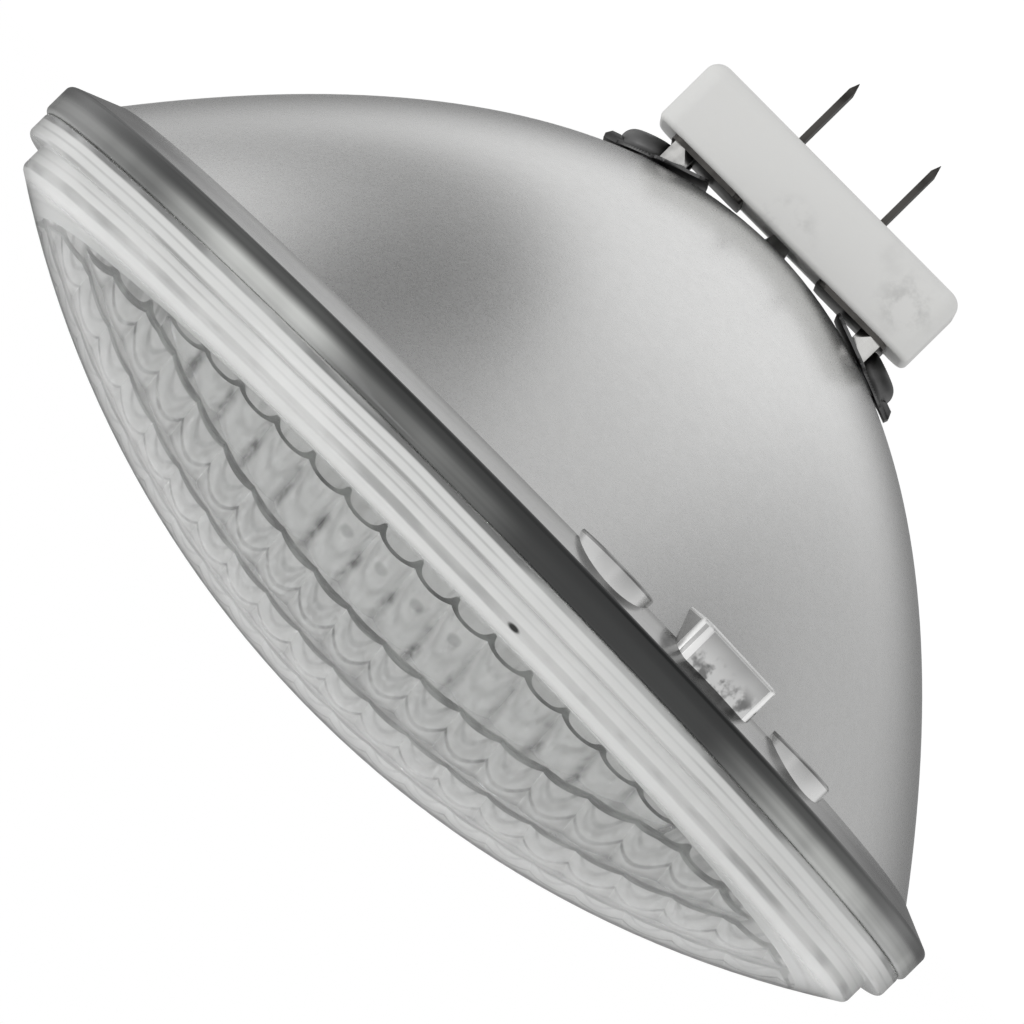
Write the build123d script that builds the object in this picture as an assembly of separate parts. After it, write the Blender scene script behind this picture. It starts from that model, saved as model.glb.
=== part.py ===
"""Sealed reflector spotlight bulb with a two-blade ceramic base.

Millimetres. +Z runs along the optical axis towards the lens, X along the line of the two blades,
and the origin is the centre of the rim flange, half way through its thickness.
"""

import os
from math import atan, cos, sin, sqrt

from build123d import *

# Rim flange of the reflector: a flat land for the sealed joint above, a bevel down to the bowl below
RIM_RADIUS = 88.9
FLANGE_HALF = 2.5
FLANGE_ROUNDING = 0.9
LAND_WIDTH = 7.9
BEVEL_RUN = 7.15
BEVEL_FALL = 3.0

# Reflector bowl: two paraboloids, r squared = width times height above the apex
BOWL_APEX_Z = -59.4
BOWL_WALL_AT_APEX = 4.2

# Locating lugs and round seating pads under the rim
LUG_ANGLES = (31, 91, 241)
LUG_WIDTH = 16.5
LUG_INSET = 4.3
LUG_REACH = 11.6
LUG_DROP = 7.9
LUG_EDGE = 1.3
PAD_SPREAD = 15.0
PAD_RADIUS = 7.5
PAD_INSET = 2.6
PAD_DROP = 4.4

# Glass tip left where the bulb was pumped out
TIP_RADIUS = 2.2
TIP_END_RADIUS = 1.3
TIP_ROUNDING = 1.0
TIP_LENGTH = 3.0
TIP_ROOT = 1.0

# Lens: concentric domes, a wall round the edge and a thicker seating ring
DOME_RADIUS = 155.5
GLASS_THICKNESS = 6.5
LENS_WALL_HEIGHT = 3.85
LENS_EDGE_STEP = 2.9
LENS_EDGE_ROUNDING = 1.2
SEAT_RING_INSET = 0.6
SEAT_RING_HEIGHT = 4.0
SEAT_RING_ROUNDING = 0.9
SEAT_LIP = 0.5

# Flutes pressed into the inside of the lens, in staggered rows with a step between rows
PATTERN_BORDER = 5.0
ROW_DEPTH = 19.0
FLUTE_PITCH = 7.0
FLUTE_DEPTH = 1.4
FLUTE_CLEAR = 1.4
ROW_TILT = 0.12

# Ferrules sealed in the glass, and the terminal caps over them
FERRULE_X = 22.3
FERRULE_RADIUS = 2.6
FERRULE_PROUD = 1.8
COLLAR_STEP = 0.4
COLLAR_TOP = 1.7
CAP_SHEET = 0.5
CAP_INNER_END = 9.6
CAP_WIDE_END = 0.6
CAP_OUTER_END = 7.2
CAP_CORNER = 2.0
CAP_DOME_SHIFT = 0.6
CAP_DOME_ROUNDING = 2.2
CAP_BRIM = 0.8
CAP_TAB_LENGTH = 3.0
CAP_TAB_WIDTH = 5.0
CAP_TAB_HEIGHT = 1.0
CAP_TAB_BEVEL = 0.8

# Hexagonal terminal posts with shanks cemented into blind holes of the block
POST_FROM_FERRULE = 3.1
POST_FROM_EDGE = 2.1
POST_ACROSS_FLATS = 3.8
POST_STOCK = 6.0
SHANK_RADIUS = 1.3
SHANK_DEPTH = 7.3

# Ceramic block
BLOCK_BEYOND_POST = 6.3
BLOCK_DEPTH = 17.0
BLOCK_HEIGHT = 12.3
BLOCK_CORNER = 3.0
BLOCK_FOOT_ROUNDING = 2.4
BLOCK_TOP_ROUNDING = 1.0

# Contact blades, each bent from the plate that lies on the block
BLADE_X = 8.45
BLADE_THICKNESS = 1.0
BLADE_WIDTH = 6.4
BLADE_REACH = 12.4
BLADE_POINT = 1.7
PLATE_THICKNESS = 0.8
PLATE_BEYOND_POST = 2.6
PLATE_MARGIN = 0.7
PLATE_CORNER = 1.5

# Filament and the wires that hold it at the focus
LEAD_X = 8.2
LEAD_RADIUS = 0.9
LEAD_STRAIGHT = 8.0
LEAD_BEND = 2.5
LEAD_RISE = 3.0
LEAD_ABOVE = 0.8
COIL_RADIUS = 1.3
COIL_LENGTH = 11.0
COIL_TURNS = 10
COIL_WIRE = 0.3

# Fits, and how far a cutting tool runs past the face it cuts
SEAL_GAP = 0.05
GLASS_GAP = 0.2
SLOT_GAP = 0.1
COLLAR_SIDE_GAP = 0.3
COLLAR_TOP_GAP = 1.4
CAP_CLEARANCE = 0.45
TIP_CLEARANCE = 1.8
OVERCUT = 1.0

# Sizes that follow from the rim
MOUTH_RADIUS = RIM_RADIUS - LAND_WIDTH
SEAT_RING_RADIUS = RIM_RADIUS - SEAT_RING_INSET
SEAT_RING_TOP_Z = FLANGE_HALF + SEAT_RING_HEIGHT
SEAT_INNER_RADIUS = MOUTH_RADIUS - SEAT_LIP
LENS_EDGE_RADIUS = SEAT_RING_RADIUS - LENS_EDGE_STEP
LENS_EDGE_Z = SEAT_RING_TOP_Z + LENS_WALL_HEIGHT
DOME_CENTRE_Z = LENS_EDGE_Z - sqrt(DOME_RADIUS**2 - LENS_EDGE_RADIUS**2)
DOME_APEX_Z = DOME_CENTRE_Z + DOME_RADIUS
INNER_DOME_RADIUS = DOME_RADIUS - GLASS_THICKNESS
PATTERN_RADIUS = SEAT_INNER_RADIUS - PATTERN_BORDER
ROWS_EACH_SIDE = round(PATTERN_RADIUS / ROW_DEPTH)
BEVEL_FOOT_RADIUS = RIM_RADIUS - BEVEL_RUN
BEVEL_FOOT_Z = -FLANGE_HALF - BEVEL_FALL
LUG_OUTER_RADIUS = RIM_RADIUS - LUG_INSET
LUG_FOOT_Z = -FLANGE_HALF - LUG_DROP
PAD_OUTER_RADIUS = RIM_RADIUS - PAD_INSET
PAD_FACE_Z = -FLANGE_HALF - PAD_DROP

# Sizes that follow from the bowl
BOWL_WIDTH = BEVEL_FOOT_RADIUS**2 / (BEVEL_FOOT_Z - BOWL_APEX_Z)
INNER_APEX_Z = BOWL_APEX_Z + BOWL_WALL_AT_APEX
INNER_WIDTH = MOUTH_RADIUS**2 / (FLANGE_HALF - INNER_APEX_Z)
FILAMENT_Z = INNER_APEX_Z + INNER_WIDTH / 4
FERRULE_INSIDE = BOWL_WALL_AT_APEX + FERRULE_PROUD
FERRULE_COLLAR_RADIUS = FERRULE_RADIUS + COLLAR_STEP
CAP_DOME_RADIUS = FERRULE_COLLAR_RADIUS + COLLAR_SIDE_GAP + CAP_DOME_SHIFT + CAP_SHEET
CAP_DOME_HEIGHT = COLLAR_TOP - GLASS_GAP + COLLAR_TOP_GAP + CAP_SHEET
SEAL_Z = BOWL_APEX_Z + FERRULE_X**2 / BOWL_WIDTH
SEAL_SLOPE = 2 * FERRULE_X / BOWL_WIDTH
SEAL_ANGLE = atan(SEAL_SLOPE)
TIP_END_Z = BOWL_APEX_Z - TIP_LENGTH

# Sizes of the base, which hangs just clear of the lowest point of the cap domes
CAP_BEND_CENTRE = GLASS_GAP + CAP_DOME_HEIGHT - CAP_DOME_ROUNDING
CAP_BEND_RADIUS = CAP_DOME_RADIUS - CAP_DOME_ROUNDING - CAP_DOME_SHIFT
CAP_REACH = CAP_BEND_CENTRE * cos(SEAL_ANGLE) + CAP_BEND_RADIUS * sin(SEAL_ANGLE) + CAP_DOME_ROUNDING
PLATE_TOP_Z = SEAL_Z - CAP_REACH - CAP_CLEARANCE
BLOCK_TOP_Z = PLATE_TOP_Z - PLATE_THICKNESS
BLOCK_FOOT_Z = BLOCK_TOP_Z - BLOCK_HEIGHT
BLADE_END_Z = BLOCK_FOOT_Z - BLADE_REACH
SHANK_END_Z = BLOCK_TOP_Z - SHANK_DEPTH
PLATE_WIDTH = BLOCK_DEPTH - 2 * PLATE_MARGIN
CAP_WIDTH = PLATE_WIDTH
POST_X = FERRULE_X - POST_FROM_FERRULE
POST_Y = PLATE_WIDTH / 2 - POST_FROM_EDGE
PLATE_END_X = POST_X + PLATE_BEYOND_POST
BLOCK_HALF_LENGTH = POST_X + BLOCK_BEYOND_POST
TIP_POCKET_RADIUS = TIP_RADIUS + TIP_CLEARANCE
TIP_POCKET_Z = TIP_END_Z - TIP_CLEARANCE

LEFT = -1
RIGHT = 1


def turned(*lines):
    """The solid of revolution of a closed outline of radii and heights."""
    return revolve(Plane.XZ * make_face(Curve() + list(lines)), Axis.Z)


def parabola(apex_z, width, top_z):
    """Half of an upright parabola from its apex to the given height."""
    radius = sqrt(width * (top_z - apex_z))
    return Bezier((0, apex_z), (radius / 2, apex_z), (radius, top_z))


def dome_z(radius, x, y=0.0):
    """Height of a lens dome above a point of the rim plane."""
    return DOME_CENTRE_Z + sqrt(radius**2 - x**2 - y**2)


def dome_arc(radius, edge):
    """Half section of a lens dome from the axis out to an edge radius."""
    return ThreePointArc(
        (0, dome_z(radius, 0)),
        (edge / 2, dome_z(radius, edge / 2)),
        (edge, dome_z(radius, edge)),
    )


def ring_edges(solid, radius, z):
    """The circular edges of one radius at one height."""
    found = solid.edges().filter_by(GeomType.CIRCLE)
    return [e for e in found if abs(e.radius - radius) < 0.01 and abs(e.arc_center.Z - z) < 0.01]


def seal_plane(side):
    """The plane that touches the bowl where a ferrule comes through, with its normal outwards."""
    return Plane(
        origin=(side * FERRULE_X, 0, SEAL_Z),
        x_dir=(side, 0, SEAL_SLOPE),
        z_dir=(side * SEAL_SLOPE, 0, -1),
    )


def upright(radius, low, high):
    """A cylinder along the local axis between two heights."""
    return Pos(0, 0, low) * Cylinder(radius, high - low, align=(Align.CENTER, Align.CENTER, Align.MIN))


def block_between(x, y, z):
    """A box between pairs of limits."""
    size = Box(x[1] - x[0], y[1] - y[0], z[1] - z[0])
    return Pos((x[0] + x[1]) / 2, (y[0] + y[1]) / 2, (z[0] + z[1]) / 2) * size


def lug(angle):
    """One glass lug under the rim, with its outer and lower edges bevelled."""
    body = block_between(
        (LUG_OUTER_RADIUS - LUG_REACH, LUG_OUTER_RADIUS), (-LUG_WIDTH / 2, LUG_WIDTH / 2), (LUG_FOOT_Z, 0)
    )
    body = chamfer(body.faces().sort_by(Axis.X)[-1].edges().filter_by(Axis.Z), LUG_EDGE)
    body = chamfer(body.faces().sort_by(Axis.Z)[0].edges().sort_by(Axis.X)[-1], LUG_EDGE / 2)
    return Rot(0, 0, angle) * body


def seating_pad(angle):
    """One round pad with a flat face on which the bulb seats in its ring."""
    return Rot(0, 0, angle) * Pos(PAD_OUTER_RADIUS - PAD_RADIUS, 0, 0) * upright(PAD_RADIUS, PAD_FACE_Z, 0)


def reflector():
    """Pressed glass bowl with rim flange, lugs, pads and pumping tip."""
    bowl = turned(
        parabola(BOWL_APEX_Z, BOWL_WIDTH, BEVEL_FOOT_Z),
        Polyline(
            (BEVEL_FOOT_RADIUS, BEVEL_FOOT_Z),
            (RIM_RADIUS, -FLANGE_HALF),
            (RIM_RADIUS, FLANGE_HALF),
            (0, FLANGE_HALF),
            (0, BOWL_APEX_Z),
        ),
    )
    rim = ring_edges(bowl, RIM_RADIUS, -FLANGE_HALF) + ring_edges(bowl, RIM_RADIUS, FLANGE_HALF)
    bowl = fillet(rim, FLANGE_ROUNDING)
    for angle in LUG_ANGLES:
        bowl += lug(angle)
        bowl += seating_pad(angle - PAD_SPREAD)
        bowl += seating_pad(angle + PAD_SPREAD)
    tip_height = TIP_LENGTH + TIP_ROOT
    tip = Pos(0, 0, TIP_END_Z + tip_height / 2) * Cone(TIP_END_RADIUS, TIP_RADIUS, tip_height)
    bowl += fillet(ring_edges(tip, TIP_END_RADIUS, TIP_END_Z), TIP_ROUNDING)
    over_z = FLANGE_HALF + OVERCUT
    cavity = turned(
        parabola(INNER_APEX_Z, INNER_WIDTH, over_z),
        Polyline((sqrt(INNER_WIDTH * (over_z - INNER_APEX_Z)), over_z), (0, over_z), (0, INNER_APEX_Z)),
    )
    bowl -= cavity
    for side in (LEFT, RIGHT):
        bowl -= seal_plane(side) * upright(FERRULE_RADIUS + SEAL_GAP, -2 * FERRULE_INSIDE, FERRULE_INSIDE)
    return bowl


def flute_row(index):
    """The tool that presses one row of flutes: a chain of arcs along X, swept along the row."""
    near_y = index * ROW_DEPTH
    far_y = near_y + ROW_DEPTH
    if index == -ROWS_EACH_SIDE:
        near_y = -PATTERN_RADIUS
    if index == ROWS_EACH_SIDE - 1:
        far_y = PATTERN_RADIUS
    middle_y = (near_y + far_y) / 2
    slope = -middle_y / sqrt(INNER_DOME_RADIUS**2 - middle_y**2)
    slope -= ROW_TILT if middle_y < 0 else -ROW_TILT
    shift = FLUTE_PITCH / 2 if index % 2 else 0.0
    reach = int(PATTERN_RADIUS / FLUTE_PITCH) + 2
    stations = [k * FLUTE_PITCH + shift for k in range(-reach, reach)]
    lift = FLUTE_CLEAR + slope * (near_y - middle_y)
    corners = [(x, dome_z(INNER_DOME_RADIUS, x, middle_y) + lift) for x in stations]
    arcs = []
    for start, end in zip(corners, corners[1:]):
        crown = ((start[0] + end[0]) / 2, (start[1] + end[1]) / 2 + FLUTE_DEPTH)
        arcs.append(ThreePointArc(start, crown, end))
    below = Polyline(corners[-1], (corners[-1][0], 0), (corners[0][0], 0), corners[0])
    face = Plane.XZ.offset(-near_y) * make_face(Curve() + arcs + [below])
    run = Vector(0, far_y - near_y, slope * (far_y - near_y))
    return extrude(face, amount=run.length, dir=run.normalized())


def lens():
    """Pressed glass lens, with rows of flutes on the inside within a plain ring."""
    land_z = dome_z(INNER_DOME_RADIUS, SEAT_INNER_RADIUS)
    glass = turned(
        dome_arc(DOME_RADIUS, LENS_EDGE_RADIUS),
        Polyline(
            (LENS_EDGE_RADIUS, LENS_EDGE_Z),
            (LENS_EDGE_RADIUS, SEAT_RING_TOP_Z),
            (SEAT_RING_RADIUS, SEAT_RING_TOP_Z),
            (SEAT_RING_RADIUS, FLANGE_HALF),
            (SEAT_INNER_RADIUS, FLANGE_HALF),
            (SEAT_INNER_RADIUS, land_z),
        ),
        dome_arc(INNER_DOME_RADIUS, SEAT_INNER_RADIUS),
        Line((0, dome_z(INNER_DOME_RADIUS, 0)), (0, DOME_APEX_Z)),
    )
    glass = fillet(ring_edges(glass, LENS_EDGE_RADIUS, LENS_EDGE_Z), LENS_EDGE_ROUNDING)
    glass = fillet(ring_edges(glass, SEAT_RING_RADIUS, SEAT_RING_TOP_Z), SEAT_RING_ROUNDING)
    glass = fillet(ring_edges(glass, SEAT_RING_RADIUS, FLANGE_HALF), SEAT_RING_ROUNDING / 2)
    limit = upright(PATTERN_RADIUS, 0, DOME_APEX_Z)
    for index in range(-ROWS_EACH_SIDE, ROWS_EACH_SIDE):
        glass -= flute_row(index) & limit
    return glass


def ceramic_block():
    """Glazed block with slots for the blades, post holes and a pocket for the glass tip."""
    half_depth = BLOCK_DEPTH / 2
    block = block_between(
        (-BLOCK_HALF_LENGTH, BLOCK_HALF_LENGTH), (-half_depth, half_depth), (BLOCK_FOOT_Z, BLOCK_TOP_Z)
    )
    block = fillet(block.edges().filter_by(Axis.Z), BLOCK_CORNER)
    block = fillet(block.faces().sort_by(Axis.Z)[0].edges(), BLOCK_FOOT_ROUNDING)
    block = fillet(block.faces().sort_by(Axis.Z)[-1].edges(), BLOCK_TOP_ROUNDING)
    block -= upright(TIP_POCKET_RADIUS, TIP_POCKET_Z, BLOCK_TOP_Z + OVERCUT)
    slot_half_x = BLADE_THICKNESS / 2 + SLOT_GAP
    slot_half_y = BLADE_WIDTH / 2 + SLOT_GAP
    for side in (LEFT, RIGHT):
        slot = block_between(
            (-slot_half_x, slot_half_x),
            (-slot_half_y, slot_half_y),
            (BLOCK_FOOT_Z - OVERCUT, BLOCK_TOP_Z + OVERCUT),
        )
        block -= Pos(side * BLADE_X, 0, 0) * slot
        for across in (-POST_Y, POST_Y):
            hole = upright(SHANK_RADIUS + SLOT_GAP, SHANK_END_Z, BLOCK_TOP_Z + OVERCUT)
            block -= Pos(side * POST_X, across, 0) * hole
    return block


def contact_blade(side):
    """One blade bent down from the plate that carries its terminal posts."""
    inner = BLADE_X - BLADE_THICKNESS / 2
    outer = BLADE_X + BLADE_THICKNESS / 2
    outline = Polyline(
        (inner, PLATE_TOP_Z),
        (inner, BLADE_END_Z + BLADE_POINT),
        (BLADE_X, BLADE_END_Z),
        (outer, BLADE_END_Z + BLADE_POINT),
        (outer, PLATE_TOP_Z),
        close=True,
    )
    blade = extrude(Plane.XZ * make_face(outline), BLADE_WIDTH / 2, both=True)
    half_width = BLADE_WIDTH / 2
    front = Polyline(
        (-half_width, PLATE_TOP_Z),
        (-half_width, BLADE_END_Z + BLADE_POINT),
        (-half_width + BLADE_POINT, BLADE_END_Z),
        (half_width - BLADE_POINT, BLADE_END_Z),
        (half_width, BLADE_END_Z + BLADE_POINT),
        (half_width, PLATE_TOP_Z),
        close=True,
    )
    blade &= extrude(Plane.YZ * make_face(front), BLADE_X + BLADE_THICKNESS)
    plate_half = PLATE_WIDTH / 2
    plate = block_between((inner, PLATE_END_X), (-plate_half, plate_half), (BLOCK_TOP_Z, PLATE_TOP_Z))
    blade += fillet(plate.edges().filter_by(Axis.Z), PLATE_CORNER)
    for across in (-POST_Y, POST_Y):
        hole = upright(SHANK_RADIUS + SLOT_GAP, BLOCK_TOP_Z - OVERCUT, PLATE_TOP_Z + OVERCUT)
        blade -= Pos(POST_X, across, 0) * hole
    return blade if side == RIGHT else mirror(blade, Plane.YZ)


def terminal_posts(side):
    """The pair of hexagonal posts of one side, cut off where they meet the terminal cap."""
    cap_face = seal_plane(RIGHT).offset(GLASS_GAP + CAP_SHEET)
    pair = []
    for across in (-POST_Y, POST_Y):
        hexagon = RegularPolygon(POST_ACROSS_FLATS / 2, 6, major_radius=False, rotation=30)
        post = extrude(Pos(POST_X, across, PLATE_TOP_Z) * hexagon, POST_STOCK)
        post = split(post, cap_face, keep=Keep.TOP)
        post += Pos(POST_X, across, 0) * upright(SHANK_RADIUS, SHANK_END_Z, PLATE_TOP_Z)
        pair.append(post)
    both = Compound(children=pair)
    return both if side == RIGHT else mirror(both, Plane.YZ)


def cap_dome(radius, low, high, rounding):
    """A low round dome along the local axis between two heights."""
    dome = upright(radius, low, high)
    return fillet(ring_edges(dome, radius, high), rounding)


def terminal_cap(side):
    """Pressed sheet cap over one ferrule, with a turned-up tab at its outer end."""
    low = GLASS_GAP
    half_width = CAP_WIDTH / 2
    sheet_top = low + CAP_SHEET
    sheet = block_between((-CAP_INNER_END, -CAP_WIDE_END), (-half_width, half_width), (low, sheet_top))
    sheet = fillet(sheet.edges().filter_by(Axis.Z), CAP_CORNER)
    brim = upright(CAP_DOME_RADIUS + CAP_BRIM, low, sheet_top)
    dome = cap_dome(CAP_DOME_RADIUS, low, low + CAP_DOME_HEIGHT, CAP_DOME_ROUNDING)
    hollow_top = low + CAP_DOME_HEIGHT - CAP_SHEET
    hollow = cap_dome(CAP_DOME_RADIUS - CAP_SHEET, low - OVERCUT, hollow_top, CAP_DOME_ROUNDING - CAP_SHEET)
    tab_from = CAP_OUTER_END - CAP_TAB_LENGTH
    tab_top = sheet_top + CAP_TAB_HEIGHT
    tab = block_between((tab_from, CAP_OUTER_END), (-CAP_TAB_WIDTH / 2, CAP_TAB_WIDTH / 2), (low, tab_top))
    tab = chamfer(tab.faces().sort_by(Axis.Z)[-1].edges(), CAP_TAB_BEVEL)
    shift = Pos(CAP_DOME_SHIFT, 0, 0)
    cap = sheet + shift * (brim + dome) + tab
    cap -= shift * hollow
    return seal_plane(side) * cap


def ferrule(side):
    """Metal ferrule sealed through the glass, with a collar outside."""
    body = upright(FERRULE_RADIUS, -FERRULE_INSIDE, COLLAR_TOP)
    body += upright(FERRULE_COLLAR_RADIUS, GLASS_GAP, COLLAR_TOP)
    return seal_plane(side) * body


def lead_wire(side):
    """Stiff wire from a ferrule up to one end of the filament."""
    plane = seal_plane(side)
    start = plane.from_local_coords((0, 0, -FERRULE_INSIDE))
    knee = plane.from_local_coords((0, 0, -FERRULE_INSIDE - LEAD_STRAIGHT))
    path = FilletPolyline(
        start,
        knee,
        (side * LEAD_X, 0, FILAMENT_Z - LEAD_RISE),
        (side * LEAD_X, 0, FILAMENT_Z + LEAD_ABOVE),
        radius=LEAD_BEND,
    )
    return sweep(Plane(origin=path @ 0, z_dir=path % 0) * Circle(LEAD_RADIUS), path)


def filament():
    """Coiled filament across the focus, with a straight tail at each end."""
    coil = Helix(COIL_LENGTH / COIL_TURNS, COIL_LENGTH, COIL_RADIUS)
    wire = Plane(origin=coil @ 0, z_dir=coil % 0) * RegularPolygon(COIL_WIRE, 4)
    turns = Pos(0, 0, -COIL_LENGTH / 2) * sweep(wire, coil, is_frenet=True)
    reach = LEAD_X - LEAD_RADIUS - SEAL_GAP
    for low, high in ((-reach, -COIL_LENGTH / 2), (COIL_LENGTH / 2, reach)):
        turns += Pos(COIL_RADIUS, 0, 0) * upright(COIL_WIRE, low, high)
    return Pos(0, 0, FILAMENT_Z) * Rot(0, 90, 0) * Rot(0, 0, 90) * turns


def nodes():
    """Every separate piece of the bulb by its name."""
    pieces = {
        "lens": lens(),
        "reflector": reflector(),
        "ceramic_block": ceramic_block(),
        "filament": filament(),
    }
    for name, side in (("left", LEFT), ("right", RIGHT)):
        pieces["contact_blade_" + name] = contact_blade(side)
        pieces["terminal_posts_" + name] = terminal_posts(side)
        pieces["terminal_cap_" + name] = terminal_cap(side)
        pieces["ferrule_" + name] = ferrule(side)
        pieces["lead_wire_" + name] = lead_wire(side)
    return pieces


os.makedirs("parts", exist_ok=True)
for node, shape in nodes().items():
    export_step(shape, os.path.join("parts", node + ".step"))
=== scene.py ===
"""Looks of a sealed reflector spotlight bulb, built round its packed solids.

Metres. +Z runs along the optical axis towards the lens, X along the line of the two contact blades.
"""

import math

import bmesh
import bpy
from bpy.props import FloatProperty, FloatVectorProperty, IntProperty, PointerProperty
from mathutils import Matrix, Vector
from mathutils.geometry import intersect_point_line


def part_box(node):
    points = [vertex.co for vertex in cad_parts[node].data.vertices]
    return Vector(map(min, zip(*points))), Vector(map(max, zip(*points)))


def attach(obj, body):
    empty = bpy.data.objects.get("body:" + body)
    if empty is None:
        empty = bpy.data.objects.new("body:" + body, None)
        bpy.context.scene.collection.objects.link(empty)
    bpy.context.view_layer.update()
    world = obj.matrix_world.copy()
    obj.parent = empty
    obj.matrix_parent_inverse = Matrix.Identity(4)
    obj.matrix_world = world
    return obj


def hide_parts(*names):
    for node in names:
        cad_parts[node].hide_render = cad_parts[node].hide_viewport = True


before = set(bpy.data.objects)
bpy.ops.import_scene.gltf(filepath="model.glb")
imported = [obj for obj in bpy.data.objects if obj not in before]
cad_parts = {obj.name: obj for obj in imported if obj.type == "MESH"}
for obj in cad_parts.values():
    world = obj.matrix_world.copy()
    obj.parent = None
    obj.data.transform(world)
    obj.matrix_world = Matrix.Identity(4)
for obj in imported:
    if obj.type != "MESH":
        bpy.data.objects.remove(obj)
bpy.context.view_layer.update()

bl_info = {
    "name": "Reflector Spotlight Bulb",
    "version": (1, 0, 0),
    "blender": (4, 5, 0),
    "location": "3D View > Sidebar > Bulb",
    "description": "Dresses the solids of a sealed reflector bulb in glass, silver, ceramic and metal",
    "category": "Add Mesh",
}

BODY = "root"
PICTURE_PIXELS = 1024
SENSOR_WIDTH = 36.0
SIDES = ("left", "right")

REFLECTOR_LOW, REFLECTOR_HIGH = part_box("reflector")
LENS_LOW, LENS_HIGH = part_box("lens")
FILAMENT_LOW, FILAMENT_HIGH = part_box("filament")
BLOCK_LOW, BLOCK_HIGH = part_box("ceramic_block")


def length(name, description, default):
    """A size in metres that a user may change."""
    return FloatProperty(name=name, description=description, default=default, unit="LENGTH", precision=5)


def colour(name, description, default):
    """A colour that a user may change."""
    return FloatVectorProperty(
        name=name, description=description, default=default, subtype="COLOR", size=3, min=0.0, max=1.0
    )


def angle(name, description, degrees):
    """An angle that a user may change."""
    return FloatProperty(name=name, description=description, default=math.radians(degrees), subtype="ANGLE")


def amount(name, description, default):
    """A plain number that a user may change."""
    return FloatProperty(name=name, description=description, default=default)


class LensSizes(bpy.types.PropertyGroup):
    """Sizes of the pressed lens."""

    apex: length("Apex height", "Height of the dome's middle above the rim plane", LENS_HIGH.z)
    dome: length("Dome radius", "Radius of the outer dome", 0.1555)
    wall: length("Glass thickness", "Distance between the two domes", 0.0065)
    edge: length("Edge radius", "Radius of the wall round the dome", 0.0854)
    edge_rounding: length("Edge rounding", "Rounding between wall and dome", 0.0012)
    ring: length("Seating ring radius", "Radius of the ring that seats on the flange", LENS_HIGH.x)
    ring_top: length("Seating ring top", "Height of the ring's upper face", 0.0065)
    ring_rounding: length("Ring rounding", "Rounding of the ring's upper edge", 0.0009)
    seat: length("Seat height", "Height of the ring's lower face", LENS_LOW.z)
    seat_gap: length("Seat gap", "Sealing gap between lens and flange", 0.00005)
    inside: length("Inside radius", "Radius of the wall inside the ring", 0.0805)
    pattern: length("Pattern radius", "Radius of the fluted field", 0.0755)
    row: length("Row depth", "Depth of one row of flutes", 0.019)
    pitch: length("Flute pitch", "Distance from flute to flute", 0.007)
    depth: length("Flute depth", "Depth of a flute between its edges", 0.0014)
    clear: length("Flute clearance", "How far the flute edges stand above the inner dome", 0.0014)
    tilt: amount("Row tilt", "How much flatter a row lies than the dome", 0.12)


class ReflectorSizes(bpy.types.PropertyGroup):
    """Sizes of the pressed bowl."""

    rim: length("Rim radius", "Radius of the flange", REFLECTOR_HIGH.x)
    half: length("Half flange", "Half the flange's thickness", REFLECTOR_HIGH.z)
    rounding: length("Flange rounding", "Rounding of the flange's edges", 0.0009)
    mouth: length("Mouth radius", "Radius of the mirror at the flange's upper face", 0.081)
    bevel: length("Bevel foot radius", "Radius where the bevel under the flange meets the bowl", 0.08175)
    bevel_foot: length("Bevel foot height", "Height where the bevel meets the bowl", -0.0055)
    apex: length("Apex height", "Height of the bowl's lowest point", -0.0594)
    wall: length("Wall at apex", "Glass thickness at the lowest point", 0.0042)
    tip: length("Tip radius", "Radius of the glass tip at its root", 0.0021)
    tip_end: length("Tip end radius", "Radius of the glass tip near its end", 0.0013)
    tip_low: length("Tip height", "Height of the glass tip's end", REFLECTOR_LOW.z)
    lug_width: length("Lug width", "Width of a locating lug", 0.0165)
    lug_outer: length("Lug radius", "Radius of a lug's outer face", 0.0846)
    lug_foot: length("Lug height", "Height of a lug's lower face", -0.0104)
    lug_edge: length("Lug bevel", "Bevel of a lug's edges", 0.0013)
    lug_1: angle("First lug", "Angle of the first lug", 31)
    lug_2: angle("Second lug", "Angle of the second lug", 91)
    lug_3: angle("Third lug", "Angle of the third lug", 241)
    pad_spread: angle("Pad spread", "Angle from a lug to the pads beside it", 15)
    pad_radius: length("Pad radius", "Radius of a round seating pad", 0.0075)
    pad_outer: length("Pad reach", "Outermost radius of a pad", 0.0863)
    pad_face: length("Pad height", "Height of a pad's flat face", -0.0069)


class FilamentSizes(bpy.types.PropertyGroup):
    """Sizes of the coiled filament."""

    coil: length("Coil radius", "Radius of the coil at the middle of its wire", 0.0013)
    run: length("Coil length", "Length of the coiled stretch", 0.011)
    wire: length("Wire radius", "Radius of the wire", 0.00028)
    turns: IntProperty(name="Turns", description="Number of turns", default=10, min=1)


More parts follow.
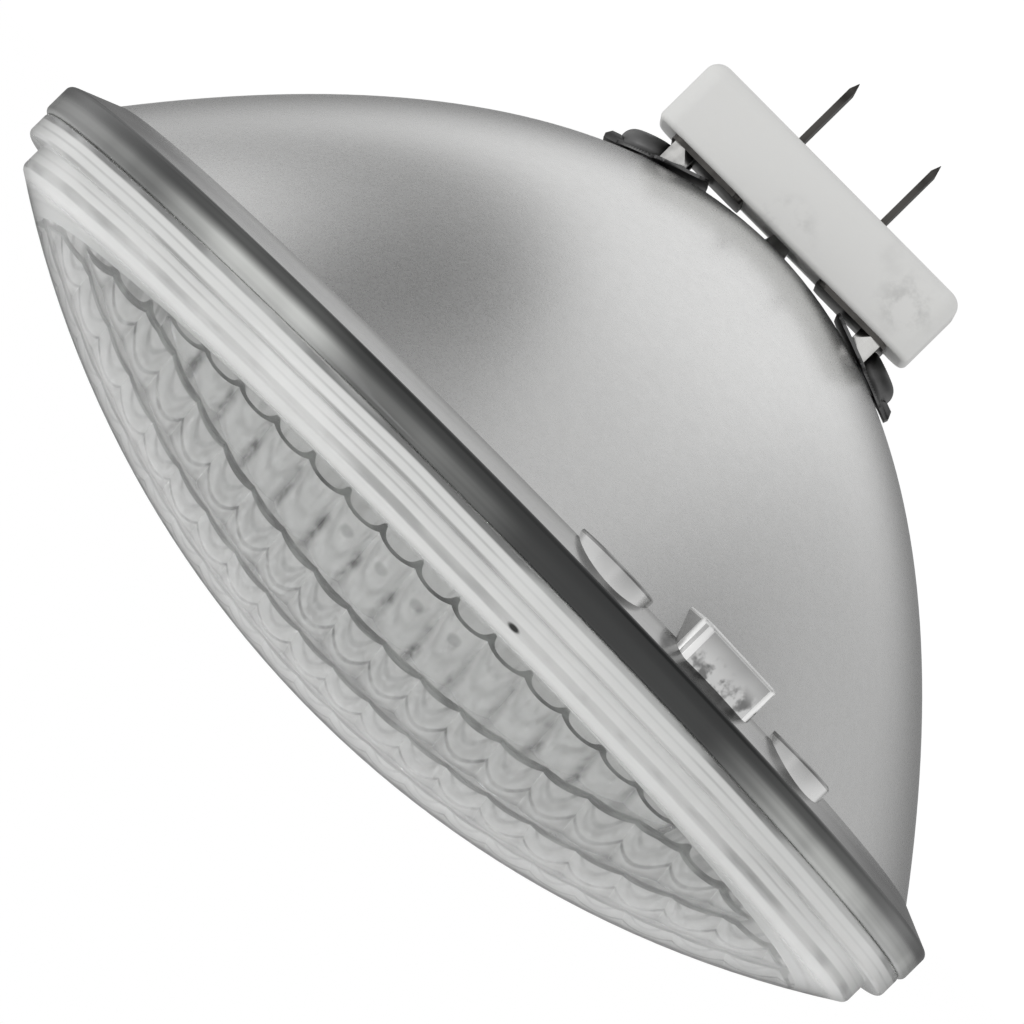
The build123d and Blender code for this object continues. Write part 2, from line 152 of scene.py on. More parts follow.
class Finishes(bpy.types.PropertyGroup):
    """Colours of the finishes."""

    glass: colour("Glass", "Clear pressed glass", (0.965, 0.972, 0.968))
    frost: colour("Frost", "Satin inside of the lens", (0.90, 0.905, 0.895))
    # Drawn lines: painted shade along the ends of the flutes
    drawn: colour("Drawn lines", "Darker lines along the ends of the flutes", (0.13, 0.135, 0.13))
    # Rim is the flange edge's dark colour; Pale rim is painted reflection on it, at places along X
    rim: colour("Rim", "Edge of the flange, dark where it is sealed", (0.012, 0.013, 0.013))
    rim_reflection: colour("Pale rim", "Edge of the flange where its glass is open", (0.68, 0.69, 0.67))
    silver: colour("Silver", "Silvered bowl from outside", (0.70, 0.70, 0.695))
    mirror: colour("Mirror", "Silvered bowl from inside", (0.94, 0.94, 0.935))
    ceramic: colour("Ceramic", "Satin white ceramic", (0.82, 0.82, 0.805))
    # Blade: darkened as painted shade, for the shade round the blades
    blade: colour("Blade", "Darkened contact blades", (0.095, 0.091, 0.086))
    bright: colour("Bright metal", "Tinned posts and wires", (0.66, 0.655, 0.64))
    dark: colour("Dark metal", "Dull terminal caps", (0.15, 0.15, 0.15))
    tungsten: colour("Tungsten", "Bare filament wire", (0.30, 0.30, 0.31))


class StageSettings(bpy.types.PropertyGroup):
    """Floor, light and camera."""

    distance: length("Camera distance", "Distance from the camera to its aim", 1.6)
    azimuth: angle("Camera azimuth", "Turn of the camera round the optical axis", -2.5)
    elevation: angle("Camera elevation", "Rise of the camera above the rim plane", 2.84)
    roll: angle("Camera roll", "Turn of the camera round its own line of sight", -134.51)
    aim_x: length("Aim X", "X of the point in the middle of the picture", -0.00047)
    aim_z: length("Aim Z", "Z of the point in the middle of the picture", -0.00526)
    scale: amount("Pixels per metre", "Scale of the picture at the aim", 6860.0)
    floor: length("Floor height", "Height of the floor below the rim plane", -0.2)
    floor_size: length("Floor size", "Width of the floor", 8.0)
    ambient: amount("Ambient light", "Even light on dull surfaces", 0.72)
    key: amount("Key light", "Power of the soft main lamp", 4.0)


class Value:
    """One number carried by a socket, written in sums as any number is."""

    def __init__(self, graph, socket):
        self.graph = graph
        self.socket = socket

    def sum(self, operation, *terms):
        return self.graph.node("ShaderNodeMath", {"operation": operation}, dict(enumerate(terms)))

    def __add__(self, other):
        return self.sum("ADD", self, other)

    def __radd__(self, other):
        return self.sum("ADD", other, self)

    def __sub__(self, other):
        return self.sum("SUBTRACT", self, other)

    def __rsub__(self, other):
        return self.sum("SUBTRACT", other, self)

    def __mul__(self, other):
        return self.sum("MULTIPLY", self, other)

    def __rmul__(self, other):
        return self.sum("MULTIPLY", other, self)

    def __truediv__(self, other):
        return self.sum("DIVIDE", self, other)

    def __rtruediv__(self, other):
        return self.sum("DIVIDE", other, self)

    def root(self):
        return self.sum("SQRT", self)

    def floor(self):
        return self.sum("FLOOR", self)

    def sign(self):
        return self.sum("SIGN", self)

    def size(self):
        return self.sum("ABSOLUTE", self)

    def above(self, limit):
        return self.sum("GREATER_THAN", self, limit)

    def most(self, other):
        return self.sum("MAXIMUM", self, other)

    def rise(self, low, high):
        """0 below low, 1 above high and a smooth climb between them."""
        return self.graph.node(
            "ShaderNodeMapRange",
            {"interpolation_type": "SMOOTHSTEP"},
            {"Value": self, "From Min": low, "From Max": high},
        )


class Graph:
    """Adds nodes to a shader or geometry tree."""

    def __init__(self, tree):
        self.tree = tree

    def node(self, kind, settings=None, inputs=None, output=0):
        """A new node: its settings, then the values or links of its sockets. Gives one of its outputs."""
        made = self.tree.nodes.new(kind)
        for name, value in (settings or {}).items():
            setattr(made, name, value)
        for name, value in (inputs or {}).items():
            for one in value if isinstance(value, list) else [value]:
                if isinstance(one, Value):
                    self.tree.links.new(one.socket, made.inputs[name])
                else:
                    made.inputs[name].default_value = one
        return Value(self, made.outputs[output]) if len(made.outputs) else None

    def split(self, vector):
        """The three numbers of a vector."""
        first = self.node("ShaderNodeSeparateXYZ", None, {0: vector})
        return [Value(self, socket) for socket in first.socket.node.outputs]

    def vector(self, x, y, z):
        return self.node("ShaderNodeCombineXYZ", None, {0: x, 1: y, 2: z})

    def dot(self, vector, direction):
        return self.node(
            "ShaderNodeVectorMath", {"operation": "DOT_PRODUCT"}, {0: vector, 1: direction}, "Value"
        )

    def distance(self, vector, point):
        return self.node("ShaderNodeVectorMath", {"operation": "DISTANCE"}, {0: vector, 1: point}, "Value")

    def stretch(self, vector, factors):
        return self.node("ShaderNodeVectorMath", {"operation": "MULTIPLY"}, {0: vector, 1: factors})

    def place(self):
        return self.node("ShaderNodeTexCoord", None, None, "Object")

    def noise(self, place, scale, detail, roughness=0.5):
        return self.node(
            "ShaderNodeTexNoise",
            None,
            {"Vector": place, "Scale": scale, "Detail": detail, "Roughness": roughness},
        )

    def blend(self, factor, first, second):
        """A colour between two colours."""
        return self.node("ShaderNodeMix", {"data_type": "RGBA"}, {0: factor, 6: first, 7: second}, 2)

    def bump(self, height, distance, strength):
        return self.node(
            "ShaderNodeBump", None, {"Height": height, "Distance": distance, "Strength": strength}
        )

    def surface(self, **sockets):
        named = {name.replace("_", " "): value for name, value in sockets.items()}
        return self.node("ShaderNodeBsdfPrincipled", None, named)

    def mixed(self, factor, first, second):
        """One surface showing through another by a mask."""
        return self.node("ShaderNodeMixShader", None, {0: factor, 1: first, 2: second})


GLASS_IOR = 1.474

# Painted reflection on the ring of the lens, as dark bands: heights, and the low edge, high edge and
# strength of each band
RING_TOP = (0.0112, 0.0126)
RING_MILK = 0.74
RING_REFLECTION_BANDS = (
    (0.0090, 0.0104, 0.62),
    (0.0076, 0.0079, 0.40),
    (0.0060, 0.0066, 0.62),
    (0.0046, 0.0049, 0.36),
    (0.0026, 0.0036, 0.90),
)
BAND_EDGE = 0.00018
BAND_WAVER = 0.0009
SPECK_SHAPE = (0.4, 0.4, 1.0)
SPECK_PLACE = (-0.00628, -0.03352, 0.0100)
SPECK_SIZE = (0.00025, 0.00055)
SPECK_SHADE = (0.012, 0.012, 0.012, 1.0)

# Painted shade inside the lens: where the outer rows start and how far their dark dots reach, in metres
OUTER_ROW = (0.0565, 0.0575)
DOT_FIELD = (0.009, 0.022)

# Painted shade in each flute, as arches, cusp lines and a dot: shares of its half width, and of its row's
# depth from the rim inwards
CELL_MAP = "cell"
ARCH_TOP = 0.79
ARCH_BOW = 0.27
ARCH_LINE = (0.016, 0.080)
INNER_ARCH_TOP = 0.38
INNER_ARCH_BOW = 0.80
INNER_ARCH_LINE = (0.02, 0.13)
CUSP_SHADE_ACROSS = (0.58, 0.96)
CUSP_SHADE_ALONG = (0.05, 0.70)
DOT_PLACE = 0.29
DOT_FLATNESS = 14.0
DOT_SIZE = (0.01, 0.16)
ROW_FOOT = (0.0, 0.11)
ROW_HEAD = (0.86, 1.0)
FROST_SHARE = 0.42
FROST_HAZE = 0.24

# Painted reflection, highlight and shade on the reflector: heights, and places along the rim in X
LUG_RIM_REFLECTION = (-0.0084, -0.0058)
RIM_FOOT = (-0.0013, 0.0004)
RIM_LEFT = (0.044, 0.064)
RIM_MIDDLE = (-0.010, 0.006)
RIM_RIGHT = (0.022, 0.038)
RIM_RIGHT_END = (0.052, 0.066)
BEVEL_LINE = (-0.0027, -0.0021)
BEVEL_FOOT = (-0.0054, -0.0046)

# Stains on the side of the block
STAIN_PLACES = (
    (0.001, BLOCK_LOW.y, BLOCK_HIGH.z - 0.001),
    (-0.0195, BLOCK_LOW.y, (BLOCK_LOW.z + BLOCK_HIGH.z) / 2),
)
STAIN_SIZE = (0.001, 0.0065)


def shaded(shade, factor=1.0):
    """A colour made lighter or darker, with its alpha."""
    return (*[min(1.0, part * factor) for part in shade], 1.0)


def toned(graph, factor, shade, first, second):
    """A colour between two shares of one shade."""
    return graph.blend(factor, shaded(shade, first), shaded(shade, second))


def finish(name, paint):
    """A material whose surface is what a painting function gives."""
    made = bpy.data.materials.new(name)
    made.use_nodes = True
    made.node_tree.nodes.clear()
    graph = Graph(made.node_tree)
    graph.node("ShaderNodeOutputMaterial", None, {"Surface": paint(graph, bpy.context.scene.bulb_finishes)})
    return made


def clear_surface(graph, shades, roughness):
    """Glass that light passes through."""
    return graph.surface(
        Base_Color=shaded(shades.glass), Roughness=roughness, IOR=GLASS_IOR, Transmission_Weight=1.0
    )


def paint_clear_glass(graph, shades):
    """Pressed glass, milky round its ring with dark bands of painted reflection, and a small dark inclusion
    at the dome's edge.
    """
    place = graph.place()
    haze = graph.noise(place, scale=90.0, detail=3.0)
    _, _, height = graph.split(place)
    waver = graph.noise(graph.stretch(place, (22.0, 22.0, 0.0)), scale=1.0, detail=2.0)
    level = height + BAND_WAVER * (waver - 0.5)
    streaks = graph.stretch(place, (40.0, 40.0, 160.0))
    marks = graph.noise(streaks, scale=1.0, detail=2.0).rise(0.42, 0.60)
    # Painted reflection: dark bands at set heights round the ring, wavering and broken by streaks
    reflection_bands = 0.05 + 0.10 * haze
    for low, high, strength in RING_REFLECTION_BANDS:
        over_low = level.rise(low - BAND_EDGE, low + BAND_EDGE)
        over_high = level.rise(high - BAND_EDGE, high + BAND_EDGE)
        reflection_bands = reflection_bands + strength * (over_low * (1.0 - over_high)) * (0.40 + 0.60 * marks)
    glass = clear_surface(graph, shades, 0.03 + 0.06 * haze)
    milk = graph.surface(
        Base_Color=toned(graph, reflection_bands, shades.frost, 1.10, 0.25),
        Roughness=0.12 + 0.1 * haze,
        IOR=GLASS_IOR,
    )
    speck = graph.surface(Base_Color=SPECK_SHADE, Roughness=0.3)
    spot = graph.distance(graph.stretch(place, SPECK_SHAPE), SPECK_PLACE)
    ring = 1.0 - height.rise(*RING_TOP)
    return graph.mixed(1.0 - spot.rise(*SPECK_SIZE), graph.mixed(ring * RING_MILK, glass, milk), speck)


def paint_fluted_glass(graph, shades):
    """The satin inside of the lens, with painted shade: soft lines where the flutes turn, arches and dots
    in each flute, and shade at a row's ends.
    """
    place = graph.place()
    haze = graph.noise(place, scale=120.0, detail=3.0)
    drawn_out = graph.stretch(place, (1.0, 0.35, 0.35))
    painted_dark_patches = graph.noise(drawn_out, scale=420.0, detail=2.0).rise(0.42, 0.70)
    x, y, _ = graph.split(place)
    across, along, _ = graph.split(graph.node("ShaderNodeUVMap", {"uv_map": CELL_MAP}))
    side = (across - 0.5).size() * 2.0
    outer_row = y.size().rise(*OUTER_ROW)
    inner_rows = 1.0 - outer_row
    arch = 1.0 - (along + ARCH_BOW * side * side - ARCH_TOP).size().rise(*ARCH_LINE)
    inner_arch = 1.0 - (along + INNER_ARCH_BOW * side * side - INNER_ARCH_TOP).size().rise(*INNER_ARCH_LINE)
    cusp_shade = side.rise(*CUSP_SHADE_ACROSS) * along.rise(*CUSP_SHADE_ALONG)
    beside = along - DOT_PLACE
    dot = 1.0 - (DOT_FLATNESS * beside * beside + side * side).rise(*DOT_SIZE)
    dot_field = 1.0 - x.size().rise(*DOT_FIELD)
    ends = (1.0 - along.rise(*ROW_FOOT)) + along.rise(*ROW_HEAD)
    # Painted shade: arches, cusp lines, dots and dark patches in each flute, and darker ends of each row
    shade = (0.80 * arch + 0.40 * inner_arch) * inner_rows * (0.6 + 0.4 * painted_dark_patches)
    shade = shade + cusp_shade * (0.32 + 0.68 * outer_row) * (0.42 + 0.58 * painted_dark_patches)
    shade = shade + outer_row * (0.22 * inner_arch * painted_dark_patches + 0.48 * dot * dot_field)
    shade = shade + 0.48 * ends * inner_rows + 0.10 * painted_dark_patches
    clear = clear_surface(graph, shades, 0.05 + 0.08 * haze)
    frost = graph.surface(
        Base_Color=toned(graph, shade, shades.frost, 1.08, 0.10),
        Roughness=0.9,
        Specular_IOR_Level=0.0,
    )
    return graph.mixed(FROST_SHARE + FROST_HAZE * haze, clear, frost)


def paint_step_shade_glass(graph, shades):
    """Lines of painted shade along the ends of the flutes."""
    marks = graph.noise(graph.place(), scale=150.0, detail=3.0).rise(0.35, 0.65)
    return graph.surface(
        Base_Color=toned(graph, marks, shades.drawn, 0.9, 2.6),
        Roughness=0.6,
        Specular_IOR_Level=0.1,
    )


def paint_lug_glass(graph, shades):
    """Glass over silvering on the lugs and the tip, with dark patches of painted reflection of the rim
    towards the flange.
    """
    place = graph.place()
    _, _, height = graph.split(place)
    haze = graph.noise(place, scale=140.0, detail=2.0)
    # Painted reflection of the dark rim, in patches on the lugs near the flange
    painted_dark_patches = graph.noise(place, scale=360.0, detail=3.0).rise(0.44, 0.60) * height.rise(*LUG_RIM_REFLECTION)
    light = toned(graph, haze, shades.silver, 0.60, 0.95)
    return graph.surface(
        Base_Color=graph.blend(painted_dark_patches * 0.88, light, shaded(shades.silver, 0.12)),
        Metallic=1.0,
        Roughness=0.14 + 0.12 * haze,
        Coat_Weight=1.0,
    )


def silver_painter(low, high, roughness):
    """A painter of hazy silvering under glass, between two shares of the silver's colour."""

    def paint(graph, shades):
        haze = graph.noise(graph.place(), scale=260.0, detail=2.0)
        return graph.surface(
            Base_Color=toned(graph, haze, shades.silver, low, high),
            Metallic=1.0,
            Roughness=roughness + 0.1 * haze,
            Coat_Weight=1.0,
        )

    return paint


def paint_rim_edge(graph, shades):
    """Glossy edge of the flange: dark, with cloudy painted reflections at places along X, and painted shade
    darkest below.
    """
    place = graph.place()
    across, _, height = graph.split(place)
    clouds = graph.noise(graph.stretch(place, (1.0, 1.0, 0.4)), scale=34.0, detail=3.0).rise(0.38, 0.66)
    lines = graph.noise(graph.stretch(place, (12.0, 12.0, 900.0)), scale=1.0, detail=1.0).rise(0.35, 0.65)
    # Painted reflection: lighter patches at places along X, cloudy and streaked, with painted shade darkest
    # at the foot
    left = (0.0 - across).rise(*RIM_LEFT)
    middle = across.rise(*RIM_MIDDLE)
    right = across.rise(*RIM_RIGHT) * (1.0 - across.rise(*RIM_RIGHT_END))
    light = 0.04 + 0.86 * left + 0.26 * middle + 0.62 * right
    painted_reflection = light * (0.45 + 0.35 * clouds + 0.20 * lines) * (0.10 + 0.90 * height.rise(*RIM_FOOT))
    return graph.surface(
        Base_Color=graph.blend(painted_reflection, shaded(shades.rim), shaded(shades.rim_reflection)),
        Roughness=0.10 + 0.15 * clouds,
        IOR=GLASS_IOR,
    )


def paint_bevel(graph, shades):
    """Smooth bevel under the flange, its silvering painted darker as shade: a painted highlight line along
    its top, grey below and painted shade darker at its foot.
    """
    place = graph.place()
    _, _, height = graph.split(place)
    streaks = graph.noise(graph.stretch(place, (60.0, 60.0, 900.0)), scale=1.0, detail=2.0)
    # Painted shade on the bevel's silvering, a painted highlight along its top and painted shade at its
    # foot
    grey = toned(graph, streaks, shades.silver, 0.48, 0.66)
    lined = graph.blend(height.rise(*BEVEL_LINE), grey, shaded(shades.silver, 1.05))
    return graph.surface(
        Base_Color=graph.blend(1.0 - height.rise(*BEVEL_FOOT), lined, shaded(shades.silver, 0.42)),
        Metallic=1.0,
        Roughness=0.16 + 0.12 * streaks,
    )


def paint_silver(graph, shades):
    """Silvering seen through fine-grained pressed glass."""
    place = graph.place()
    grain = graph.noise(place, scale=2300.0, detail=2.0, roughness=0.6)
    clouds = graph.noise(place, scale=16.0, detail=3.0)
    mottle = graph.noise(place, scale=520.0, detail=3.0, roughness=0.6)
    shade = clouds * 0.25 + mottle * 0.30 + grain * 0.45
    return graph.surface(
        Base_Color=toned(graph, shade, shades.silver, 0.82, 1.18),
        Metallic=1.0,
        Roughness=0.24 + 0.08 * grain,
        Normal=graph.bump(grain, distance=0.00002, strength=0.3),
    )


def paint_mirror(graph, shades):
    """Bright silvering on the inside of the bowl."""
    haze = graph.noise(graph.place(), scale=40.0, detail=3.0)
    return graph.surface(Base_Color=shaded(shades.mirror), Metallic=1.0, Roughness=0.14 + 0.10 * haze)


def paint_ceramic(graph, shades):
    """Satin ceramic with a few soft stains."""
    place = graph.place()
    grain = graph.noise(place, scale=900.0, detail=3.0, roughness=0.6)
    marks = graph.noise(place, scale=260.0, detail=4.0, roughness=0.6).rise(0.44, 0.66)
    near = [1.0 - graph.distance(place, spot).rise(*STAIN_SIZE) for spot in STAIN_PLACES]
    faint = graph.noise(place, scale=75.0, detail=4.0).rise(0.60, 0.80)
    stains = faint * 0.4 + marks * (near[0] + near[1]) * 0.7
    return graph.surface(
        Base_Color=toned(graph, stains, shades.ceramic, 1.0, 0.66),
        Roughness=0.42 + 0.12 * grain,
        Normal=graph.bump(grain, distance=0.00006, strength=0.5),
    )


def metal_painter(shade_name, roughness, spots):
    """A painter of worn metal with fine wear and darker spots."""

    def paint(graph, shades):
        place = graph.place()
        shade = getattr(shades, shade_name)
        wear = graph.noise(place, scale=420.0, detail=4.0, roughness=0.6)
        dull = graph.noise(place, scale=180.0, detail=3.0).rise(0.45, 0.70)
        return graph.surface(
            Base_Color=toned(graph, dull * spots, shade, 1.0, 0.45),
            Metallic=1.0,
            Roughness=roughness + 0.2 * wear,
            Normal=graph.bump(wear, distance=0.00005, strength=0.6),
        )

    return paint


WELD_DISTANCE = 2e-7
EMPTY_DISTANCE = 1e-8
SLIT_WIDTH = 1e-6


def mesh_of(name, points, faces):
    """A plain mesh of points and faces."""
    mesh = bpy.data.meshes.new(name)
    mesh.from_pydata(points, [], faces)
    return mesh


def joined(name, meshes):
    """One mesh of several, with doubles merged and the faces turned outwards."""
    work = bmesh.new()
    for mesh in meshes:
        work.from_mesh(mesh)
    bmesh.ops.remove_doubles(work, verts=work.verts, dist=WELD_DISTANCE)
    bmesh.ops.dissolve_degenerate(work, edges=work.edges, dist=EMPTY_DISTANCE)
    bmesh.ops.recalc_face_normals(work, faces=work.faces)
    whole = bpy.data.meshes.new(name)
    work.to_mesh(whole)
    work.free()
    return whole


def stitched(mesh):
    """The mesh with its open edges split where points of the other side lie on them."""
    work = bmesh.new()
    work.from_mesh(mesh)
    ends = dict.fromkeys(corner for edge in work.edges if edge.is_boundary for corner in edge.verts)
    for place in [corner.co.copy() for corner in ends]:
        for edge in [edge for edge in work.edges if edge.is_boundary]:
            start, end = edge.verts
            _, share = intersect_point_line(place, start.co, end.co)
            reach = start.co.lerp(end.co, share) - place
            near_end = min((place - corner.co).length for corner in edge.verts)
            if 0.0 < share < 1.0 and reach.length < SLIT_WIDTH and near_end > SLIT_WIDTH:
                _, added = bmesh.utils.edge_split(edge, start, share)
                added.co = place
    work.to_mesh(mesh)
    work.free()
    return mesh


def smoothed(mesh, sharp_degrees):
    """Smooth shading with hard edges where faces meet at more than an angle."""
    mesh.shade_smooth()
    mesh.set_sharp_from_angle(angle=math.radians(sharp_degrees))
    return mesh


def evaluated(name, mesh, add_modifier):
    """The plain mesh that a modifier makes of another mesh."""
    holder = bpy.data.objects.new(name, mesh)
    bpy.context.scene.collection.objects.link(holder)
    add_modifier(holder)
    bpy.context.view_layer.update()
    depsgraph = bpy.context.evaluated_depsgraph_get()
    made = bpy.data.meshes.new_from_object(holder.evaluated_get(depsgraph))
    made.name = name
    bpy.data.objects.remove(holder)
    return made


def add_piece(name, mesh, materials, node):
    """A piece that stands for one packed solid and rides with the bulb."""
    for material in materials:
        mesh.materials.append(material)
    piece = bpy.data.objects.new(name, mesh)
    bpy.context.scene.collection.objects.link(piece)
    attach(piece, BODY)
    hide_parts(node)
    return piece


def revolved(name, profile, angles, materials):
    """A mesh turned round Z from radii and heights, with a material for each step of the profile.

    A first or last point on the axis closes to a pole.
    """
    points, rings, faces, shades = [], [], [], []
    count = len(angles)
    for radius, height in profile:
        if radius < WELD_DISTANCE:
            rings.append([len(points)] * count)
            points.append((0.0, 0.0, height))
        else:
            rings.append(range(len(points), len(points) + count))
            points += [(radius * math.cos(a), radius * math.sin(a), height) for a in angles]
    for number, (low, high) in enumerate(zip(rings, rings[1:])):
        for here in range(count):
            after = (here + 1) % count
            corners = [low[here], low[after], high[after], high[here]]
            faces.append(list(dict.fromkeys(corners)))
            shades.append(materials[number])
    mesh = mesh_of(name, points, faces)
    mesh.polygons.foreach_set("material_index", shades)
    return mesh


def rounded(before, corner, after, radius, steps):
    """Points of an arc that rounds the corner between two straight runs."""
    middle = Vector(corner)
    first = (Vector(before) - middle).normalized()
    second = (Vector(after) - middle).normalized()
    half = first.angle(second) / 2
    centre = middle + (first + second).normalized() * (radius / math.sin(half))
    start = middle + first * (radius / math.tan(half)) - centre
    end = middle + second * (radius / math.tan(half)) - centre
    turn = start.angle_signed(end)
    arc = []
    for number in range(steps + 1):
        swing = -turn * number / steps
        x = start.x * math.cos(swing) - start.y * math.sin(swing)
        y = start.x * math.sin(swing) + start.y * math.cos(swing)
        arc.append((centre.x + x, centre.y + y))
    return arc


FLOAT = "NodeSocketFloat"
MATERIAL = "NodeSocketMaterial"
GEOMETRY = "NodeSocketGeometry"


def new_tree(name, labels):
    """A geometry tree with named inputs: the tree, its graph and its wrapped inputs."""
    tree = bpy.data.node_groups.new(name, "GeometryNodeTree")
    tree.interface.new_socket("Geometry", in_out="INPUT", socket_type=GEOMETRY)
    for label in labels:
        tree.interface.new_socket(label, in_out="INPUT", socket_type=FLOAT)
    tree.interface.new_socket("Material", in_out="INPUT", socket_type=MATERIAL)
    tree.interface.new_socket("Geometry", in_out="OUTPUT", socket_type=GEOMETRY)
    graph = Graph(tree)
    first = graph.node("NodeGroupInput")
    return tree, graph, {s.name: Value(graph, s) for s in first.socket.node.outputs if s.name}


def end_tree(graph, geometry, material):
    """Realises what a tree has made, gives it its material and hands it out."""
    whole = graph.node("GeometryNodeRealizeInstances", None, {0: geometry})
    painted = graph.node("GeometryNodeSetMaterial", None, {"Geometry": whole, "Material": material})
    graph.node("NodeGroupOutput", None, {0: painted})


def through_tree(name, mesh, tree, values):
    """The plain mesh that a geometry tree makes of a mesh, with the tree's inputs given by label."""

    def add_modifier(holder):
        modifier = holder.modifiers.new(tree.name, "NODES")
        modifier.node_group = tree
        for item in tree.interface.items_tree:
            if item.in_out == "INPUT" and item.name in values:
                modifier[item.identifier] = values[item.name]

    return evaluated(name, mesh, add_modifier)


def flute_tree():
    """Lifts a flat plan of rows to the fluted inside of the lens."""
    labels = ["Dome Radius", "Dome Centre", "Pitch", "Depth", "Clearance", "Tilt"]
    tree, graph, value = new_tree("lens_flutes", labels)
    x, y, _ = graph.split(graph.node("GeometryNodeInputPosition"))
    middle, shift, land = [
        graph.node("GeometryNodeInputNamedAttribute", {"data_type": "FLOAT"}, {"Name": label})
        for label in PLAN_LABELS
    ]
    radius, pitch, depth = value["Dome Radius"], value["Pitch"], value["Depth"]
    row_square = radius * radius - middle * middle
    slope = value["Tilt"] * middle.sign() - middle / row_square.root()
    along = (x - shift) / pitch
    share = along - along.floor()
    start = along.floor() * pitch + shift
    end = start + pitch
    start_z = (row_square - start * start).root()
    end_z = (row_square - end * end).root()
    arc = (pitch * pitch / 4.0 + depth * depth) / (depth * 2.0)
    across = pitch * (share - 0.5)
    crown = (arc * arc - across * across).root() - arc + depth
    fluted = start_z + (end_z - start_z) * share + crown + value["Clearance"] + slope * (y - middle)
    plain = (radius * radius - x * x - y * y).root()
    height = value["Dome Centre"] + fluted + (plain - fluted) * land
    lifted = graph.node(
        "GeometryNodeSetPosition",
        None,
        {"Geometry": value["Geometry"], "Position": graph.vector(x, y, height)},
    )
    end_tree(graph, lifted, value["Material"])
    return tree


def around_tree():
    """Copies a shape round the optical axis: at three angles, or at a spread to both sides of each."""
    tree, graph, value = new_tree("around_axis", ["Angle 1", "Angle 2", "Angle 3", "Spread", "Copies"])
    copies = value["Copies"]
    number = graph.node("GeometryNodeInputIndex")
    station = ((number + 0.5) / copies).floor()
    side = (number - station * copies) * 2.0 - (copies - 1.0)
    turn = value["Angle 1"] + side * value["Spread"]
    turn = turn + (value["Angle 2"] - value["Angle 1"]) * station.above(0.5)
    turn = turn + (value["Angle 3"] - value["Angle 2"]) * station.above(1.5)
    points = graph.node("GeometryNodeMeshLine", None, {"Count": copies * 3.0, "Offset": (0.0, 0.0, 0.0)})
    placed = graph.node(
        "GeometryNodeInstanceOnPoints",
        None,
        {"Points": points, "Instance": value["Geometry"], "Rotation": graph.vector(0.0, 0.0, turn)},
    )
    end_tree(graph, placed, value["Material"])
    return tree


COIL_STEPS = 28
WIRE_SIDES = 10


def coil_tree():
    """Winds a wire along X with a straight tail at each end."""
    labels = ["Coil Radius", "Coil Length", "Wire Radius", "Turns", "Reach", "Height"]
    tree, graph, value = new_tree("filament_coil", labels)
    coil, run = value["Coil Radius"], value["Coil Length"]
    spiral = graph.node(
        "GeometryNodeCurveSpiral",
        None,
        {
            "Resolution": COIL_STEPS,
            "Rotations": value["Turns"],
            "Start Radius": coil,
            "End Radius": coil,
            "Height": run,
        },
    )
    wires = [
        graph.node(
            "GeometryNodeTransform",
            None,
            {
                "Geometry": spiral,
                "Translation": graph.vector(run / -2.0, 0.0, 0.0),
                "Rotation": (math.pi / 2, 0.0, math.pi / 2),
            },
        )
    ]
    for side in (-1.0, 1.0):
        start = graph.vector(run * (side / 2), coil, 0.0)
        end = graph.vector(value["Reach"] * side, coil, 0.0)
        wires.append(graph.node("GeometryNodeCurvePrimitiveLine", None, {"Start": start, "End": end}))
    section = graph.node(
        "GeometryNodeCurvePrimitiveCircle", None, {"Resolution": WIRE_SIDES, "Radius": value["Wire Radius"]}
    )
    wire = graph.node(
        "GeometryNodeCurveToMesh",
        None,
        {
            "Curve": graph.node("GeometryNodeJoinGeometry", None, {0: wires}),
            "Profile Curve": section,
            "Fill Caps": True,
        },
    )
    raised = graph.node(
        "GeometryNodeTransform",
        None,
        {"Geometry": wire, "Translation": graph.vector(0.0, 0.0, value["Height"])},
    )
    end_tree(graph, raised, value["Material"])
    return tree


PLAN_LABELS = ("row_middle", "row_shift", "land")
ROW, RISER, BORDER = range(3)
COLUMN_STEPS = 20
EDGE_COLUMN_STEP = math.radians(0.8)
EDGE_COLUMNS = 32
SAME_PLACE = 2e-6


def flute_rows(sizes):
    """The Y limits of each row of flutes, the outermost ones reaching the edge of the pattern."""
    count = round(sizes.pattern / sizes.row)
    limits = [index * sizes.row for index in range(-count, count + 1)]
    limits[0] = -sizes.pattern
    limits[-1] = sizes.pattern
    return list(zip(limits, limits[1:]))


def row_shift(sizes, number):
    """How far the flutes of a row are moved along X, every other row by half a flute."""
    return number % 2 * sizes.pitch / 2


def plan_columns(sizes, rows):
    """X places of the fluted plan: even steps, closer where the pattern's edge runs along Y."""
    radius = sizes.pattern
    step = sizes.pitch / COLUMN_STEPS
    reach = int(radius / step)
    places = [k * step for k in range(-reach, reach + 1)]
    edges = [radius * math.cos(number * EDGE_COLUMN_STEP) for number in range(EDGE_COLUMNS)]
    edges += [math.sqrt(radius**2 - near**2) for near, _ in rows[1:]]
    for edge in edges:
        places = [p for p in places if abs(abs(p) - edge) > SAME_PLACE] + [-edge, edge]
    return sorted(places)


